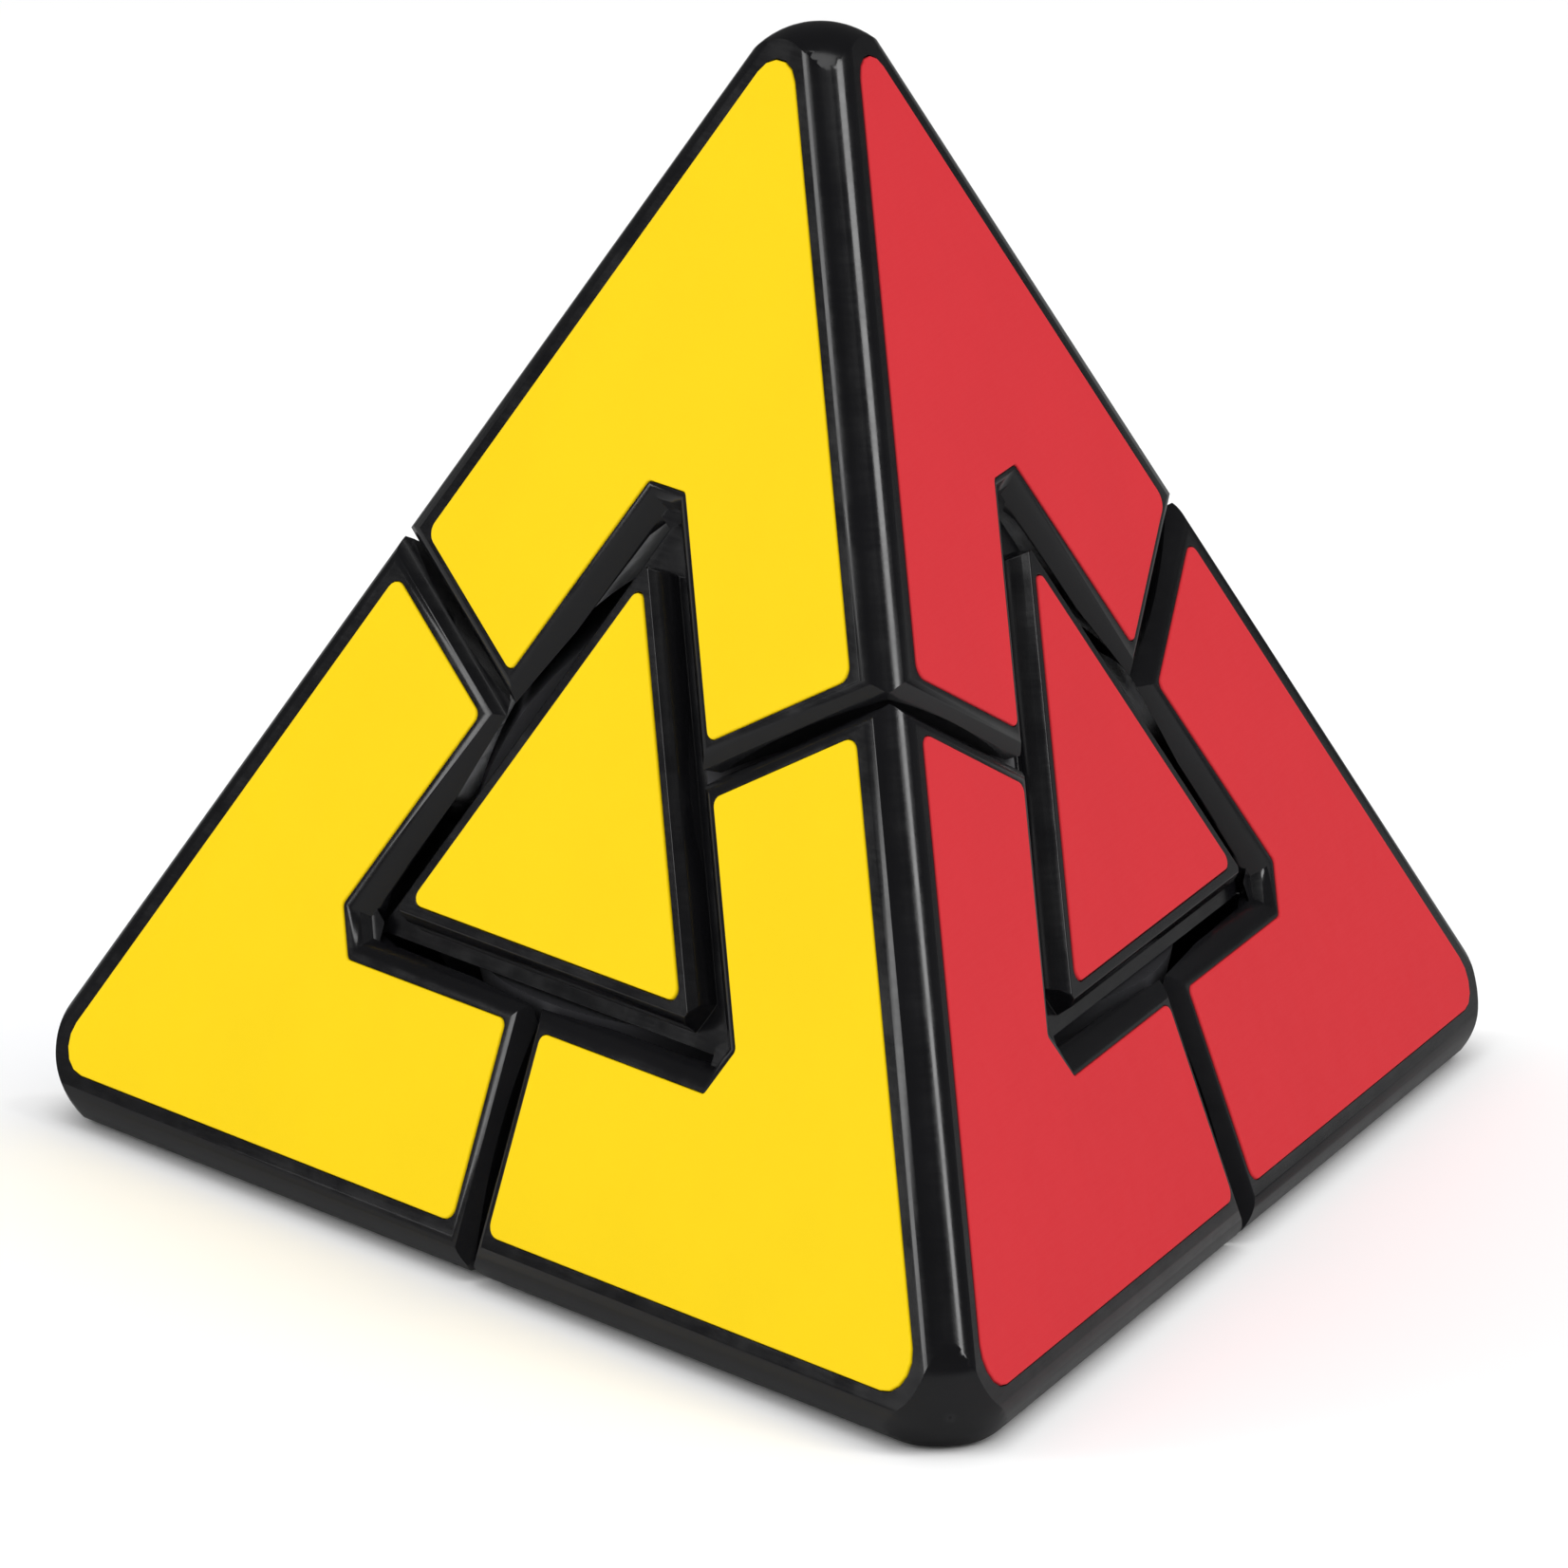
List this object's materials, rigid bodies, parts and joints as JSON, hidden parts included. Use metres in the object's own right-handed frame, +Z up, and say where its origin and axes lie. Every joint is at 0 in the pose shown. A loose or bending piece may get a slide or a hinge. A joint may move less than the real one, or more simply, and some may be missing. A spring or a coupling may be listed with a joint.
{
  "type": "pyramid twisty puzzle",
  "caption": "Tetrahedral twisty puzzle: black corners with coloured tiles turn about a hidden core and carry raised triangular face centres with them.",
  "frame": {"origin": "middle of the base face, on the outer surface of its centre tile", "axes": "+Z up through the top corner, which is an axis of threefold symmetry; the front lower corner points to -Y"},
  "size_m": [0.0886, 0.0777, 0.0731],
  "materials": {
    "body_black": "glossy black ABS, lightly worn at the edges",
    "mechanism_grey": "plain dark grey moulded ABS or acetal",
    "steel": "zinc plated steel",
    "tile_yellow": "satin yellow",
    "tile_red": "satin red",
    "tile_blue": "satin blue, assumed colour",
    "tile_green": "satin green, assumed colour"
  },
  "bodies": {
    "core": {"core": "mechanism_grey", "screw_top": "steel", "screw_left": "steel", "screw_front": "steel", "screw_right": "steel", "washer_top": "steel", "washer_left": "steel", "washer_front": "steel", "washer_right": "steel", "spring_top": "steel", "spring_left": "steel", "spring_front": "steel", "spring_right": "steel"},
    "corner_top": {"corner_shell_top": "body_black", "corner_stem_top": "mechanism_grey", "tile_top_yellow": "tile_yellow", "tile_top_red": "tile_red", "tile_top_blue": "tile_blue"},
    "corner_left": {"corner_shell_left": "body_black", "corner_stem_left": "mechanism_grey", "tile_left_yellow": "tile_yellow", "tile_left_blue": "tile_blue", "tile_left_green": "tile_green"},
    "corner_front": {"corner_shell_front": "body_black", "corner_stem_front": "mechanism_grey", "tile_front_yellow": "tile_yellow", "tile_front_red": "tile_red", "tile_front_green": "tile_green"},
    "corner_right": {"corner_shell_right": "body_black", "corner_stem_right": "mechanism_grey", "tile_right_red": "tile_red", "tile_right_blue": "tile_blue", "tile_right_green": "tile_green"},
    "slider_top_left": {"slider_top_left": "mechanism_grey"},
    "slider_top_front": {"slider_top_front": "mechanism_grey"},
    "slider_top_right": {"slider_top_right": "mechanism_grey"},
    "slider_left_front": {"slider_left_front": "mechanism_grey"},
    "slider_front_right": {"slider_front_right": "mechanism_grey"},
    "slider_left_right": {"slider_left_right": "mechanism_grey"},
    "centre_green": {"centre_body_green": "body_black", "centre_foot_green": "mechanism_grey", "centre_tile_green": "tile_green"},
    "centre_red": {"centre_body_red": "body_black", "centre_foot_red": "mechanism_grey", "centre_tile_red": "tile_red"},
    "centre_blue": {"centre_body_blue": "body_black", "centre_foot_blue": "mechanism_grey", "centre_tile_blue": "tile_blue"},
    "centre_yellow": {"centre_body_yellow": "body_black", "centre_foot_yellow": "mechanism_grey", "centre_tile_yellow": "tile_yellow"}
  },
  "joints": [
    {"name": "turn_top", "type": "hinge", "parent": "core", "child": "corner_top", "pos_m": [0, 0, 0.02], "axis": [0, 0, 1], "continuous": true},
    {"name": "turn_left", "type": "hinge", "parent": "core", "child": "corner_left", "pos_m": [0, 0, 0.02], "axis": [-0.8165, 0.4714, -0.3333], "range_deg": [-360, 360]},
    {"name": "turn_front", "type": "hinge", "parent": "core", "child": "corner_front", "pos_m": [0, 0, 0.02], "axis": [0, -0.9428, -0.3333], "range_deg": [-360, 360]},
    {"name": "turn_right", "type": "hinge", "parent": "core", "child": "corner_right", "pos_m": [0, 0, 0.02], "axis": [0.8165, 0.4714, -0.3333], "range_deg": [-360, 360]},
    {"name": "slider_top_left_turn", "type": "hinge", "parent": "corner_top", "child": "slider_top_left", "pos_m": [0, 0, 0.02], "axis": [-0.8165, 0.4714, -0.3333], "range_deg": [-360, 360]},
    {"name": "slider_top_front_turn", "type": "hinge", "parent": "corner_top", "child": "slider_top_front", "pos_m": [0, 0, 0.02], "axis": [0, -0.9428, -0.3333], "range_deg": [-360, 360]},
    {"name": "slider_top_right_turn", "type": "hinge", "parent": "corner_top", "child": "slider_top_right", "pos_m": [0, 0, 0.02], "axis": [0.8165, 0.4714, -0.3333], "range_deg": [-360, 360]},
    {"name": "slider_left_front_turn", "type": "hinge", "parent": "corner_left", "child": "slider_left_front", "pos_m": [0, 0, 0.02], "axis": [0, -0.9428, -0.3333], "range_deg": [-360, 360]},
    {"name": "slider_left_right_turn", "type": "hinge", "parent": "corner_left", "child": "slider_left_right", "pos_m": [0, 0, 0.02], "axis": [0.8165, 0.4714, -0.3333], "range_deg": [-360, 360]},
    {"name": "slider_front_right_turn", "type": "hinge", "parent": "corner_front", "child": "slider_front_right", "pos_m": [0, 0, 0.02], "axis": [0.8165, 0.4714, -0.3333], "range_deg": [-360, 360]},
    {"name": "centre_yellow_turn", "type": "hinge", "parent": "slider_top_left", "child": "centre_yellow", "pos_m": [0, 0, 0.02], "axis": [0, -0.9428, -0.3333], "range_deg": [-360, 360]},
    {"name": "centre_blue_turn", "type": "hinge", "parent": "slider_top_left", "child": "centre_blue", "pos_m": [0, 0, 0.02], "axis": [0.8165, 0.4714, -0.3333], "range_deg": [-360, 360]},
    {"name": "centre_red_turn", "type": "hinge", "parent": "slider_top_front", "child": "centre_red", "pos_m": [0, 0, 0.02], "axis": [0.8165, 0.4714, -0.3333], "range_deg": [-360, 360]},
    {"name": "centre_green_turn", "type": "hinge", "parent": "slider_left_front", "child": "centre_green", "pos_m": [0, 0, 0.02], "axis": [0.8165, 0.4714, -0.3333], "range_deg": [-360, 360]}
  ],
  "couplings": [
    {"joint": "slider_top_left_turn", "follows": "turn_left", "ratio": 1},
    {"joint": "slider_top_front_turn", "follows": "turn_front", "ratio": 1},
    {"joint": "slider_top_right_turn", "follows": "turn_right", "ratio": 1},
    {"joint": "slider_left_front_turn", "follows": "turn_front", "ratio": 1},
    {"joint": "slider_left_right_turn", "follows": "turn_right", "ratio": 1},
    {"joint": "slider_front_right_turn", "follows": "turn_right", "ratio": 1},
    {"joint": "centre_yellow_turn", "follows": "turn_front", "ratio": 1},
    {"joint": "centre_blue_turn", "follows": "turn_right", "ratio": 1},
    {"joint": "centre_red_turn", "follows": "turn_right", "ratio": 1},
    {"joint": "centre_green_turn", "follows": "turn_right", "ratio": 1}
  ]
}
